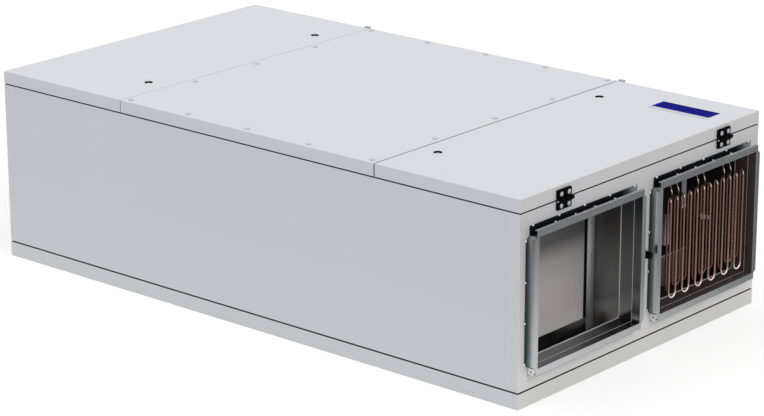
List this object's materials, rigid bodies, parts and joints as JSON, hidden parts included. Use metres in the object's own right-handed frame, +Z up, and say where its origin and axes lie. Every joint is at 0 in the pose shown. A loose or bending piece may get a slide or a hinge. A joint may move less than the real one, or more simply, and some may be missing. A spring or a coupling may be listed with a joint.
{
  "type": "air handling unit",
  "caption": "Flat rectangular air handling unit with hinged end lids, a screwed middle lid, duct frames on both ends and an electric air heater.",
  "frame": {"origin": "centre of the base panel's underside", "axes": "+X towards the end with the electric heater, -Y towards the long side beside the filters, +Z up"},
  "size_m": [2.21, 1.216, 0.644],
  "materials": {
    "painted_sheet": "fine satin powder coat",
    "galvanised_sheet": "satin galvanised sheet",
    "inner_sheet": "dull galvanised sheet",
    "filter_media": "fine pleated media",
    "seal_rubber": "matte foam rubber",
    "heater_tube": "heat-tinted tube, satin",
    "black_plastic": "fine grained",
    "lock_plastic": "smooth matte"
  },
  "bodies": {
    "case": {"back_wall": "painted_sheet", "base_panel": "painted_sheet", "base_seal": "seal_rubber", "cable_gland": "black_plastic", "duct_sleeves": "galvanised_sheet", "front_wall": "painted_sheet", "heater_element_far": "heater_tube", "heater_element_middle": "heater_tube", "heater_element_near": "heater_tube", "heater_plate": "inner_sheet", "left_back_level_rails": "galvanised_sheet", "left_back_side_rails": "galvanised_sheet", "left_bulkhead": "inner_sheet", "left_case_leaves": "black_plastic", "left_divider": "inner_sheet", "left_end_panel": "painted_sheet", "left_fan_wall": "inner_sheet", "left_filter": "filter_media", "left_filter_guide": "inner_sheet", "left_front_level_rails": "galvanised_sheet", "left_front_side_rails": "galvanised_sheet", "left_hinge_pins": "black_plastic", "lid_seal": "seal_rubber", "middle_lid": "painted_sheet", "middle_lid_caps": "painted_sheet", "right_back_level_rails": "galvanised_sheet", "right_back_side_rails": "galvanised_sheet", "right_bulkhead": "inner_sheet", "right_case_leaves": "black_plastic", "right_divider": "inner_sheet", "right_end_panel": "painted_sheet", "right_fan_wall": "inner_sheet", "right_filter": "filter_media", "right_filter_guide": "inner_sheet", "right_front_level_rails": "galvanised_sheet", "right_front_side_rails": "galvanised_sheet", "right_hinge_pins": "black_plastic"},
    "right_lid": {"right_lid": "painted_sheet", "right_lid_locks": "lock_plastic", "right_lid_catch": "galvanised_sheet", "right_lid_leaves": "black_plastic"},
    "left_lid": {"left_lid": "painted_sheet", "left_lid_locks": "lock_plastic", "left_lid_catch": "galvanised_sheet", "left_lid_leaves": "black_plastic"}
  },
  "joints": [
    {"name": "right_lid_hinge", "type": "hinge", "parent": "case", "child": "right_lid", "pos_m": [1.083, 0, 0.59225], "axis": [0, 1, 0], "range_deg": [0, 90]},
    {"name": "left_lid_hinge", "type": "hinge", "parent": "case", "child": "left_lid", "pos_m": [-1.083, 0, 0.59225], "axis": [0, -1, 0], "range_deg": [0, 90]}
  ]
}
